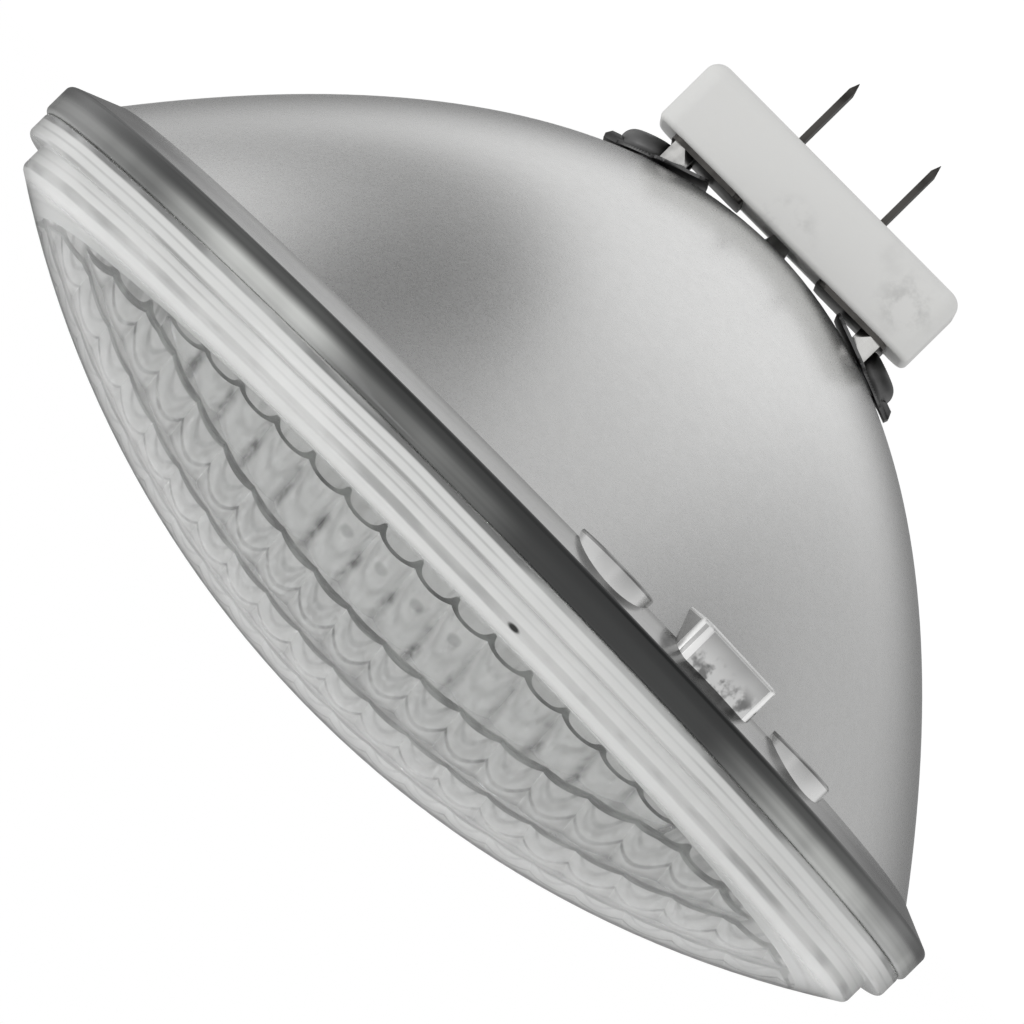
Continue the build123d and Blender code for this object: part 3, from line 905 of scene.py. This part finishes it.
def flute_plan(sizes):
    """The rows, the steps between them and the wall round them, laid flat, and the points of its edge."""
    rows = flute_rows(sizes)
    columns = plan_columns(sizes, rows)
    halves = {x: math.sqrt(max(0.0, sizes.pattern**2 - x * x)) for x in columns}
    points, stored, faces, steps = [], [], [], []

    def add(x, y, middle, shift, land):
        points.append((x, y, 0.0))
        stored.append((middle, shift, land))
        return len(points) - 1

    lows, highs = [], []
    for number, (near, far) in enumerate(rows):
        shift = row_shift(sizes, number)
        held = [x for x in columns if halves[x] > max(near, -far, 0.0) - SAME_PLACE / 10]
        about = (near + far) / 2, shift, 0.0
        lows.append({x: add(x, max(near, -halves[x]), *about) for x in held})
        highs.append({x: add(x, min(far, halves[x]), *about) for x in held})
    lands = {side: {x: add(x, side * halves[x], 0.0, 0.0, 1.0) for x in columns} for side in (-1, 1)}

    def strip(first, second, left, right, step):
        faces.append((first[left], first[right], second[right], second[left]))
        steps.append(step)

    for left, right in zip(columns, columns[1:]):
        half = math.sqrt(sizes.pattern**2 - ((left + right) / 2) ** 2)
        for number, (near, far) in enumerate(rows):
            if max(near, -far, 0.0) > half:
                continue
            strip(lows[number], highs[number], left, right, (number, far > 0.0, ROW))
            if far < half and number + 1 < len(rows) and abs(far) < half:
                strip(highs[number], lows[number + 1], left, right, (number, far > 0.0, RISER))
            if near < half <= far:
                strip(highs[number], lands[1], left, right, (number, False, BORDER))
            if near <= -half < far:
                strip(lows[number], lands[-1], left, right, (number, False, BORDER))
    edge = [(x, side * halves[x]) for side in (-1, 1) for x in columns]
    return points, stored, faces, steps, edge


GLASS, FLUTED, STEP_SHADE = range(3)
# Widths of the lines of painted shade on each kind of face, and the most of a face they may take
ARCH_LINES = {RISER: (0.0, 0.0), BORDER: (0.00085, 0.0030)}
END_LINES = {ROW: 0.0016, RISER: 0.0012, BORDER: 0.0}
LINE_SHARES = {ROW: 0.48, RISER: 0.48, BORDER: 0.92}
CUSP_SHARPNESS = 6


def banded(mesh, steps, sizes):
    """The flutes with lines of painted shade: along the arches of each wall, at its top and at the next
    row's end.
    """
    points, faces, shades, cells = [], [], [], []
    rows = flute_rows(sizes)
    last = len(rows) - 1

    def add(corners, row, shade):
        """One face, with the place of each corner across its flute and along its row."""
        faces.append(list(range(len(points), len(points) + 4)))
        points.extend(tuple(p) for p in corners)
        shades.append(shade)
        start = math.floor((sum(p.x for p in corners) / 4 - row_shift(sizes, row)) / sizes.pitch)
        outer, inner = sorted((abs(edge) for edge in rows[row]), reverse=True)
        for p in corners:
            across = (p.x - row_shift(sizes, row)) / sizes.pitch - start
            cells.extend((across, (outer - abs(p.y)) / (outer - inner)))

    def places(start, end, row, kind):
        """The places on one side of a face where its lines of painted shade end."""
        run = end - start
        size = max(run.length, SAME_PLACE)
        share = (start.x - row_shift(sizes, row)) / sizes.pitch % 1.0
        near_cusp = abs(2.0 * share - 1.0) ** CUSP_SHARPNESS
        plain, cusp = ARCH_LINES.get(kind, (0.0, 0.0))
        low = min((plain + cusp * near_cusp) / size, LINE_SHARES[kind])
        high = min(END_LINES[kind] / size, LINE_SHARES[kind])
        return [start + run * t for t in (0.0, low, 1.0 - high, 1.0)]

    for polygon, (row, mirrored, kind) in zip(mesh.polygons, steps):
        a, b, c, d = [mesh.vertices[index].co for index in polygon.vertices]
        if kind == ROW and row in (0, last):
            add((a, b, c, d), row, FLUTED)
            continue
        if kind == RISER and mirrored:
            row += 1
        if kind == RISER and mirrored or kind == ROW and not mirrored:
            a, b, c, d = c, d, a, b
        left, right = places(a, d, row, kind), places(b, c, row, kind)
        for number, shade in enumerate((STEP_SHADE, FLUTED, STEP_SHADE)):
            corners = (left[number], right[number], right[number + 1], left[number + 1])
            heights = (corners[3] - corners[0]).length, (corners[2] - corners[1]).length
            if max(heights) > SAME_PLACE:
                add(corners, row, shade)
    made = mesh_of("banded_flutes", points, faces)
    made.polygons.foreach_set("material_index", shades)
    made.uv_layers.new(name=CELL_MAP).data.foreach_set("uv", cells)
    return made


DOME_STEP = 0.0035
LENS_SHARP = 30.0
LAND_STEPS = 3
EDGE_STEPS = 6
RING_FOOT_STEPS = 4
RING_STEP_STEPS = 3
DOME_START = 0.001


def lens_profile(sizes, centre):
    """Half section of the lens from the edge of its pattern out round the ring and up to the apex."""
    inner = sizes.dome - sizes.wall

    def dome(radius, spread):
        return spread, centre + math.sqrt(radius**2 - spread**2)

    low = sizes.seat + sizes.seat_gap
    edge_top = dome(sizes.dome, sizes.edge)
    ring_low = (sizes.ring, low)
    ring_high = (sizes.ring, sizes.ring_top)
    step = (sizes.edge, sizes.ring_top)
    land = sizes.inside - sizes.pattern
    profile = [dome(inner, sizes.pattern + land * n / LAND_STEPS) for n in range(LAND_STEPS + 1)]
    profile += [(sizes.inside, (profile[-1][1] + low) / 2), (sizes.inside, low)]
    profile += rounded((sizes.inside, low), ring_low, ring_high, sizes.ring_rounding / 2, RING_FOOT_STEPS)
    profile += rounded(ring_low, ring_high, step, sizes.ring_rounding, EDGE_STEPS)
    profile += rounded(ring_high, step, edge_top, sizes.ring_rounding / 3, RING_STEP_STEPS)
    inward = dome(sizes.dome, sizes.edge - DOME_START)
    profile += rounded(step, edge_top, inward, sizes.edge_rounding, EDGE_STEPS)
    steps = round(sizes.edge / DOME_STEP)
    last = profile[-1][0]
    profile += [dome(sizes.dome, last * (1 - n / steps)) for n in range(1, steps)]
    return profile + [(0.0, sizes.apex)]


def lens_mesh(sizes, fluted_glass):
    """The closed lens: a fluted inside joined to a turned outside at the edge of the pattern."""
    centre = sizes.apex - sizes.dome
    points, stored, faces, steps, edge = flute_plan(sizes)
    plan = mesh_of("flute_plan", points, faces)
    for label, column in zip(PLAN_LABELS, zip(*stored)):
        plan.attributes.new(label, "FLOAT", "POINT").data.foreach_set("value", column)
    flutes = through_tree(
        "flutes",
        plan,
        flute_tree(),
        {
            "Dome Radius": sizes.dome - sizes.wall,
            "Dome Centre": centre,
            "Pitch": sizes.pitch,
            "Depth": sizes.depth,
            "Clearance": sizes.clear,
            "Tilt": sizes.tilt,
            "Material": fluted_glass,
        },
    )
    flutes = banded(flutes, steps, sizes)
    angles = sorted({round(math.atan2(y, x) % math.tau, 9) for x, y in edge})
    profile = lens_profile(sizes, centre)
    shell = revolved("lens_shell", profile, angles, [GLASS] * (len(profile) - 1))
    whole = joined("lens", [flutes, shell])
    return smoothed(joined("lens", [stitched(whole)]), LENS_SHARP)


SILVER, RIM, MIRROR, LUG, BEVEL, LUG_EDGE_HIGHLIGHT, PAD, PAD_EDGE_SHADE = range(8)
BOWL_STEPS = 40
BOWL_ANGLES = 384
BOWL_SHARP = 24.0
TIP_ROUNDING = 0.001
TIP_STEPS = 5
LUG_ROOTS = (0.0750, 0.0795)
LUG_SHOWS_FROM = 0.0805
LUG_SHOWS_BELOW = -0.008
PAD_ROOT = 0.0790
PAD_SHOWS_FROM = 0.0795
PAD_SHOWS_BELOW = -0.006
PAD_STEPS = 20
ROOT_HEIGHT = -0.001
GLASS_EDGE = 0.0006
GLASS_EDGE_STEPS = 3
NARROW_STRIP = 0.00045
FLAT_ANGLE = 0.2


def bowl_profile(sizes):
    """Half section of the bowl from its glass tip out to the flange and back in along the mirror."""
    width = sizes.bevel**2 / (sizes.bevel_foot - sizes.apex)
    inner_apex = sizes.apex + sizes.wall
    inner_width = sizes.mouth**2 / (sizes.half - inner_apex)
    root = (sizes.tip, sizes.apex + sizes.tip**2 / width)
    end = (sizes.tip_end, sizes.tip_low)
    runs = []

    def run(points, material):
        runs.append((points, material))

    tip = rounded((0.0, sizes.tip_low), end, root, TIP_ROUNDING, TIP_STEPS)
    run([(0.0, sizes.tip_low)] + tip + [root], LUG)
    spread = [sizes.tip + (sizes.bevel - sizes.tip) * n / BOWL_STEPS for n in range(1, BOWL_STEPS + 1)]
    run([(r, sizes.apex + r * r / width) for r in spread], SILVER)
    foot = (sizes.bevel, sizes.bevel_foot)
    low = (sizes.rim, -sizes.half)
    high = (sizes.rim, sizes.half)
    lip = rounded(foot, low, high, sizes.rounding, EDGE_STEPS)
    run(lip[:1], BEVEL)
    mouth = (sizes.mouth, sizes.half)
    run(lip[1:] + rounded(low, high, mouth, sizes.rounding, EDGE_STEPS), RIM)
    run([mouth], MIRROR)
    inward = [sizes.mouth * (1 - n / BOWL_STEPS) for n in range(1, BOWL_STEPS)]
    run([(r, inner_apex + r * r / inner_width) for r in inward] + [(0.0, inner_apex)], MIRROR)
    profile = [point for points, _ in runs for point in points]
    materials = [material for points, material in runs for _ in points]
    return profile, materials[1:]


def extruded(name, low_outline, high_outline, low, high):
    """A closed block between two outlines of the same number of corners."""
    count = len(low_outline)
    points = [(x, y, low) for x, y in low_outline] + [(x, y, high) for x, y in high_outline]
    faces = [list(range(count))[::-1], list(range(count, 2 * count))]
    for here in range(count):
        after = (here + 1) % count
        faces.append([here, after, count + after, count + here])
    return mesh_of(name, points, faces)


def softened(mesh, size, keep):
    """Rounds the creases of a block that lie where a test says so."""
    work = bmesh.new()
    work.from_mesh(mesh)
    bmesh.ops.recalc_face_normals(work, faces=work.faces)
    creases = [edge for edge in work.edges if edge.calc_face_angle() > FLAT_ANGLE]
    chosen = [edge for edge in creases if all(keep(corner.co) for corner in edge.verts)]
    bmesh.ops.bevel(work, geom=chosen, offset=size, segments=GLASS_EDGE_STEPS, profile=0.5, affect="EDGES")
    work.to_mesh(mesh)
    work.free()
    return mesh


def lug_block(sizes):
    """One lug at angle 0, its inner face inside the wall of the bowl."""
    half = sizes.lug_width / 2
    corner = sizes.lug_edge

    def outline(inner):
        outer = sizes.lug_outer
        return [
            (inner, -half),
            (outer - corner, -half),
            (outer, corner - half),
            (outer, half - corner),
            (outer - corner, half),
            (inner, half),
        ]

    block = extruded("lug", outline(LUG_ROOTS[0]), outline(LUG_ROOTS[1]), sizes.lug_foot, ROOT_HEIGHT)
    return softened(block, GLASS_EDGE, lambda co: co.x > LUG_SHOWS_FROM or co.z < LUG_SHOWS_BELOW)


def pad_block(sizes):
    """One round pad at angle 0, cut off inside the wall of the bowl."""
    middle = sizes.pad_outer - sizes.pad_radius
    reach = (PAD_ROOT**2 + middle**2 - sizes.pad_radius**2) / (2 * middle)
    limit = math.acos((reach - middle) / sizes.pad_radius)
    turns = [limit * (2 * n / PAD_STEPS - 1) for n in range(PAD_STEPS + 1)]
    outline = [(middle + sizes.pad_radius * math.cos(t), sizes.pad_radius * math.sin(t)) for t in turns]
    block = extruded("pad", outline, outline, sizes.pad_face, ROOT_HEIGHT)
    return softened(block, GLASS_EDGE, lambda co: co.x > PAD_SHOWS_FROM and co.z < PAD_SHOWS_BELOW)


def narrow(mesh, polygon):
    """Whether a face is one of the strips that round an edge."""
    corners = [mesh.vertices[index].co for index in polygon.vertices]
    sides = [(a - b).length for a, b in zip(corners, corners[1:] + corners[:1])]
    return min(sides) < NARROW_STRIP


def reflector_mesh(sizes, glass):
    """The bowl with its lugs and pads."""
    profile, materials = bowl_profile(sizes)
    turns = [math.tau * n / BOWL_ANGLES for n in range(BOWL_ANGLES)]
    bowl = revolved("bowl", profile, turns, materials)
    tree = around_tree()
    values = {"Angle 1": sizes.lug_1, "Angle 2": sizes.lug_2, "Angle 3": sizes.lug_3, "Material": glass}
    single = {**values, "Spread": 0.0, "Copies": 1.0}
    paired = {**values, "Spread": sizes.pad_spread, "Copies": 2.0}
    lugs = through_tree("lugs", lug_block(sizes), tree, single)
    pads = through_tree("pads", pad_block(sizes), tree, paired)
    # Rounded edge strips: painted highlight on the lugs, painted shade on the pads
    for mesh, face, edge in ((lugs, LUG, LUG_EDGE_HIGHLIGHT), (pads, PAD, PAD_EDGE_SHADE)):
        shades = [edge if narrow(mesh, polygon) else face for polygon in mesh.polygons]
        mesh.polygons.foreach_set("material_index", shades)
    return smoothed(joined("reflector", [bowl, lugs, pads]), BOWL_SHARP)


def dressed_copy(name, sharp_degrees):
    """A welded copy of a packed solid, shaded smooth with flat faces kept flat."""
    whole = joined(name, [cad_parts[name].data])
    smoothed(whole, sharp_degrees)

    def add_modifier(holder):
        modifier = holder.modifiers.new("flat_faces", "WEIGHTED_NORMAL")
        modifier.keep_sharp = True

    return evaluated(name, whole, add_modifier)


COPY_SHARP = 28.0


def piece_name(node):
    """The name of the piece that stands for a node."""
    return "dressed_" + node


class BULB_OT_reflector(bpy.types.Operator):
    """Make the silvered bowl with its flange, lugs, pads and glass tip"""

    bl_idname = "bulb.reflector"
    bl_label = "Reflector"

    def execute(self, context):
        painters = {
            "satin_silver": paint_silver,
            "dark_rim": paint_rim_edge,
            "bright_mirror": paint_mirror,
            "lug_glass": paint_lug_glass,
            "bright_bevel": paint_bevel,
            # Painted highlight on the lugs' rounded edges and painted shade on the pads' rounded edges, as
            # lighter and darker copies of the silvering
            "lug_edge": silver_painter(low=1.15, high=1.42, roughness=0.30),
            "pad_glass": silver_painter(low=0.80, high=1.02, roughness=0.22),
            "pad_edge": silver_painter(low=0.34, high=0.56, roughness=0.20),
        }
        materials = [finish(name, paint) for name, paint in painters.items()]
        mesh = reflector_mesh(context.scene.bulb_reflector, materials[LUG])
        add_piece(piece_name("reflector"), mesh, materials, "reflector")
        return {"FINISHED"}


class BULB_OT_lens(bpy.types.Operator):
    """Make the pressed lens with rows of flutes inside"""

    bl_idname = "bulb.lens"
    bl_label = "Lens"

    def execute(self, context):
        glass = finish("clear_glass", paint_clear_glass)
        fluted = finish("fluted_glass", paint_fluted_glass)
        drawn = finish("drawn_glass", paint_step_shade_glass)
        mesh = lens_mesh(context.scene.bulb_lens, fluted)
        add_piece(piece_name("lens"), mesh, [glass, fluted, drawn], "lens")
        return {"FINISHED"}


class BULB_OT_filament(bpy.types.Operator):
    """Wind the filament"""

    bl_idname = "bulb.filament"
    bl_label = "Filament"

    def execute(self, context):
        sizes = context.scene.bulb_filament
        tungsten = finish("tungsten_wire", metal_painter("tungsten", roughness=0.25, spots=0.4))
        wire = through_tree(
            "filament",
            bpy.data.meshes.new("no_geometry"),
            coil_tree(),
            {
                "Coil Radius": sizes.coil,
                "Coil Length": sizes.run,
                "Wire Radius": sizes.wire,
                "Turns": float(sizes.turns),
                "Reach": FILAMENT_HIGH.x,
                "Height": (FILAMENT_LOW.z + FILAMENT_HIGH.z) / 2,
                "Material": tungsten,
            },
        )
        mesh = smoothed(joined("filament", [wire]), COPY_SHARP)
        add_piece(piece_name("filament"), mesh, [tungsten], "filament")
        return {"FINISHED"}


class BULB_OT_block(bpy.types.Operator):
    """Dress the ceramic block"""

    bl_idname = "bulb.block"
    bl_label = "Ceramic block"

    def execute(self, context):
        ceramic = finish("satin_ceramic", paint_ceramic)
        mesh = dressed_copy("ceramic_block", COPY_SHARP)
        add_piece(piece_name("ceramic_block"), mesh, [ceramic], "ceramic_block")
        return {"FINISHED"}


class BULB_OT_metalwork(bpy.types.Operator):
    """Dress the blades, posts, caps, ferrules and lead wires"""

    bl_idname = "bulb.metalwork"
    bl_label = "Metalwork"

    def execute(self, context):
        # The blades' colour is painted shade, with wear spots
        blade = finish("dark_blade", metal_painter("blade", roughness=0.30, spots=1.0))
        bright = finish("bright_tin", metal_painter("bright", roughness=0.14, spots=0.90))
        dark = finish("dull_sheet", metal_painter("dark", roughness=0.35, spots=0.6))
        kinds = {
            "contact_blade_": (blade, "blade_metal"),
            "terminal_posts_": (bright, "bright_metal"),
            "terminal_cap_": (dark, "dark_metal"),
            "ferrule_": (dark, "dark_metal"),
            "lead_wire_": (bright, "bright_metal"),
        }
        for kind, (material, slot) in kinds.items():
            for side in SIDES:
                node = kind + side
                add_piece(piece_name(node), dressed_copy(node, COPY_SHARP), [material], node)
        return {"FINISHED"}


BOUNCES = {"max_bounces": 24, "diffuse_bounces": 16, "glossy_bounces": 12, "transmission_bounces": 24}


class BULB_OT_stage(bpy.types.Operator):
    """Set up the floor, the light and the camera"""

    bl_idname = "bulb.stage"
    bl_label = "Stage"

    def execute(self, context):
        settings = context.scene.bulb_stage
        context.scene.view_settings.view_transform = "Standard"
        for name, count in BOUNCES.items():
            setattr(context.scene.cycles, name, count)
        add_floor(settings)
        add_world(settings)
        add_lamp(settings)
        add_camera(settings)
        return {"FINISHED"}


FLOOR_SHADE = (0.88, 0.88, 0.88, 1.0)
FLOOR_GLOW = (0.38, 0.38, 0.38, 1.0)
NO_GLOW = (0.0, 0.0, 0.0, 1.0)
HIDDEN_RAYS = ("visible_diffuse", "visible_glossy", "visible_transmission", "visible_shadow")


def paint_floor(graph, _):
    """Dull pale paper, lifted towards white for the camera alone."""
    camera = graph.node("ShaderNodeLightPath", None, None, "Is Camera Ray")
    return graph.surface(
        Base_Color=FLOOR_SHADE,
        Roughness=1.0,
        Specular_IOR_Level=0.0,
        Emission_Color=graph.blend(camera, NO_GLOW, FLOOR_GLOW),
        Emission_Strength=1.0,
    )


def add_floor(settings):
    """A plain pale floor that only the camera sees, with the bulb's shadow on it."""
    half = settings.floor_size / 2
    corners = [(-half, -half), (half, -half), (half, half), (-half, half)]
    mesh = mesh_of("floor", [(x, y, settings.floor) for x, y in corners], [(0, 1, 2, 3)])
    mesh.materials.append(finish("pale_floor", paint_floor))
    floor = bpy.data.objects.new("floor", mesh)
    bpy.context.scene.collection.objects.link(floor)
    for kind in HIDDEN_RAYS:
        setattr(floor, kind, False)


# Darker walls of the studio: how dark each is, and over which span of direction it comes in
LOW_WALLS = (-0.45, -0.05)
SIDE_BAND = (1.0, -0.35, 0.0)
SIDE_BAND_DARK = 0.66
SIDE_BAND_START = (0.17, 0.31)
SIDE_BAND_END = (0.56, 0.66)
SIDE_BAND_FADE = (-0.22, 0.06)
FAR_SIDE_DARK = 0.42
FAR_SIDE = (0.15, 0.50)
NEAR_DARK = 0.34
NEAR_WALL = (-0.40, 0.30)
BACK_DARK = 0.82
BACK_WALL = (0.68, 0.97)
BACK_WALL_TOP = (0.0, 0.35)
FRONT_DARK = 0.12
FRONT_WALL = (-0.1, 0.7)


def add_world(settings):
    """White for the camera, a soft studio with darker walls for gloss and glass, even light elsewhere."""
    world = bpy.data.worlds.new("studio")
    world.use_nodes = True
    world.node_tree.nodes.clear()
    graph = Graph(world.node_tree)
    rays = {
        label: graph.node("ShaderNodeLightPath", None, None, label)
        for label in ("Is Camera Ray", "Is Glossy Ray", "Is Transmission Ray")
    }
    direction = graph.node("ShaderNodeTexCoord", None, None, "Generated")
    across, depth, height = graph.split(direction)
    low = 1.0 - height.rise(*LOW_WALLS)
    start = graph.dot(direction, SIDE_BAND).rise(*SIDE_BAND_START)
    fade = 0.35 + 0.65 * depth.rise(*SIDE_BAND_FADE)
    band = start * (1.0 - across.rise(*SIDE_BAND_END)) * fade
    studio = 1.0 - SIDE_BAND_DARK * band * low
    studio = studio - FAR_SIDE_DARK * (0.0 - across).rise(*FAR_SIDE) * low
    studio = studio - NEAR_DARK * (0.0 - depth).rise(*NEAR_WALL) * low
    back = depth.rise(*BACK_WALL) * (1.0 - height.rise(*BACK_WALL_TOP))
    studio = studio * (1.0 - BACK_DARK * back) * (1.0 - FRONT_DARK * height.rise(*FRONT_WALL))
    mirrored = rays["Is Glossy Ray"].most(rays["Is Transmission Ray"])
    level = settings.ambient + (studio - settings.ambient) * mirrored
    level = level + (1.0 - level) * rays["Is Camera Ray"]
    background = graph.node("ShaderNodeBackground", None, {"Color": level, "Strength": 1.0})
    graph.node("ShaderNodeOutputWorld", None, {"Surface": background})
    bpy.context.scene.world = world


KEY_SIZE = 1.0
KEY_PLACE = Vector((0.9, -1.1, 0.5))


def add_lamp(settings):
    """One large soft lamp from the left of the picture, a little above the camera."""
    data = bpy.data.lights.new("key_lamp", "AREA")
    data.energy = settings.key
    data.shape = "DISK"
    data.size = KEY_SIZE
    lamp = bpy.data.objects.new("key_lamp", data)
    turned = KEY_PLACE.to_track_quat("Z", "Y").to_matrix().to_4x4()
    lamp.matrix_world = Matrix.Translation(KEY_PLACE) @ turned
    bpy.context.scene.collection.objects.link(lamp)


def add_camera(settings):
    """The photograph's viewing angle."""
    data = bpy.data.cameras.new("camera")
    data.sensor_width = SENSOR_WIDTH
    data.lens = settings.scale * settings.distance / PICTURE_PIXELS * SENSOR_WIDTH
    camera = bpy.data.objects.new("camera", data)
    turn, rise = settings.azimuth, settings.elevation
    back = Vector((math.sin(turn) * math.cos(rise), -math.cos(turn) * math.cos(rise), math.sin(rise)))
    across = Vector((0.0, 0.0, 1.0)).cross(back).normalized()
    up = back.cross(across)
    right = across * math.cos(settings.roll) + up * math.sin(settings.roll)
    top = back.cross(right)
    aim = Vector((settings.aim_x, 0.0, settings.aim_z))
    axes = Matrix((right, top, back)).transposed().to_4x4()
    camera.matrix_world = Matrix.Translation(aim + back * settings.distance) @ axes
    bpy.context.scene.collection.objects.link(camera)
    bpy.context.scene.camera = camera


class BULB_PT_pieces(bpy.types.Panel):
    """Lists the pieces and the sizes of the bulb"""

    bl_idname = "BULB_PT_pieces"
    bl_label = "Reflector Bulb"
    bl_space_type = "VIEW_3D"
    bl_region_type = "UI"
    bl_category = "Bulb"

    def draw(self, context):
        for operator in OPERATORS:
            self.layout.operator(operator.bl_idname)
        for label, group in GROUPS.items():
            box = self.layout.box()
            box.label(text=group.__doc__)
            for name in group.__annotations__:
                box.prop(getattr(context.scene, label), name)


GROUPS = {
    "bulb_lens": LensSizes,
    "bulb_reflector": ReflectorSizes,
    "bulb_filament": FilamentSizes,
    "bulb_finishes": Finishes,
    "bulb_stage": StageSettings,
}
OPERATORS = (
    BULB_OT_reflector,
    BULB_OT_lens,
    BULB_OT_filament,
    BULB_OT_block,
    BULB_OT_metalwork,
    BULB_OT_stage,
)
CLASSES = (*GROUPS.values(), *OPERATORS, BULB_PT_pieces)


def register():
    for kind in CLASSES:
        bpy.utils.register_class(kind)
    for label, group in GROUPS.items():
        setattr(bpy.types.Scene, label, PointerProperty(type=group))


def unregister():
    for label in GROUPS:
        delattr(bpy.types.Scene, label)
    for kind in reversed(CLASSES):
        bpy.utils.unregister_class(kind)


def main():
    register()
    bpy.ops.bulb.reflector()
    bpy.ops.bulb.lens()
    bpy.ops.bulb.filament()
    bpy.ops.bulb.block()
    bpy.ops.bulb.metalwork()
    bpy.ops.bulb.stage()


if __name__ == "__main__":
    main()
